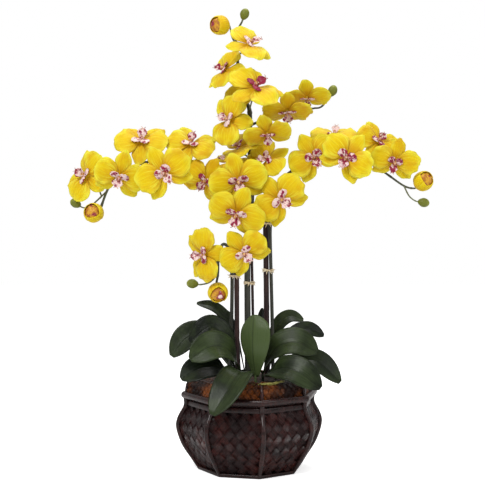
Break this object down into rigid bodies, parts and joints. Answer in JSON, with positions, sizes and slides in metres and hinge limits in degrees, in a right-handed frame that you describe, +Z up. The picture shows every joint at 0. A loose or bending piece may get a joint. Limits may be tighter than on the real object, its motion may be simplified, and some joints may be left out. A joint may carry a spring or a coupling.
{
  "type": "potted orchid",
  "caption": "Silk moth orchid in flower, staked stems and strap leaves in a faceted plaited basket pot; free-standing.",
  "frame": {"origin": "middle of the pot's flat underside", "axes": "+Z up; the flowers face -Y, the long flowering arms reach along -X and +X"},
  "size_m": [0.6138, 0.266, 0.7747],
  "materials": {
    "petal_fabric": "soft satin",
    "leaf_fabric": "semi-gloss coated",
    "stem_plastic": "matt",
    "stake_wood": "stained",
    "raffia": "dry fibre",
    "basket_weave": "stained, satin",
    "basket_frame": "lacquered",
    "filling": "rough bark",
    "moss": "dry fibre"
  },
  "bodies": {
    "root": {"bloom_front_1": "petal_fabric", "bloom_front_2": "petal_fabric", "bloom_front_3": "petal_fabric", "bloom_front_4": "petal_fabric", "bloom_left_1": "petal_fabric", "bloom_left_2": "petal_fabric", "bloom_left_3": "petal_fabric", "bloom_left_4": "petal_fabric", "bloom_left_5": "petal_fabric", "bloom_left_6": "petal_fabric", "bloom_mid_1": "petal_fabric", "bloom_mid_2": "petal_fabric", "bloom_mid_3": "petal_fabric", "bloom_mid_4": "petal_fabric", "bloom_mid_5": "petal_fabric", "bloom_right_1": "petal_fabric", "bloom_right_2": "petal_fabric", "bloom_right_3": "petal_fabric", "bloom_right_4": "petal_fabric", "bloom_right_5": "petal_fabric", "bloom_top_1": "petal_fabric", "bloom_top_2": "petal_fabric", "bloom_top_3": "petal_fabric", "bloom_top_4": "petal_fabric", "bloom_top_5": "petal_fabric", "bloom_upper_right_1": "petal_fabric", "bloom_upper_right_2": "petal_fabric", "growing_medium": "filling", "half_open_bud_left": "petal_fabric", "half_open_bud_lower": "petal_fabric", "half_open_bud_right": "petal_fabric", "half_open_bud_top": "petal_fabric", "leaf_back_left": "leaf_fabric", "leaf_back_right": "leaf_fabric", "leaf_back_small": "leaf_fabric", "leaf_back_tip": "leaf_fabric", "leaf_far_left": "leaf_fabric", "leaf_far_right": "leaf_fabric", "leaf_far_right_back": "leaf_fabric", "leaf_front_drooping": "leaf_fabric", "leaf_front_upright": "leaf_fabric", "leaf_left_front": "leaf_fabric", "leaf_lower_left": "leaf_fabric", "leaf_right": "leaf_fabric", "leaf_right_front": "leaf_fabric", "leaf_upper_left": "leaf_fabric", "moss_strand": "moss", "pot_basket": "basket_weave", "pot_frame": "basket_frame", "stake_left": "stake_wood", "stake_middle": "stake_wood", "stake_right": "stake_wood", "stem_left": "stem_plastic", "stem_middle": "stem_plastic", "stem_right": "stem_plastic", "tie_left": "raffia", "tie_middle": "raffia", "tie_right_lower": "raffia", "tie_right_upper": "raffia"}
  },
  "joints": []
}
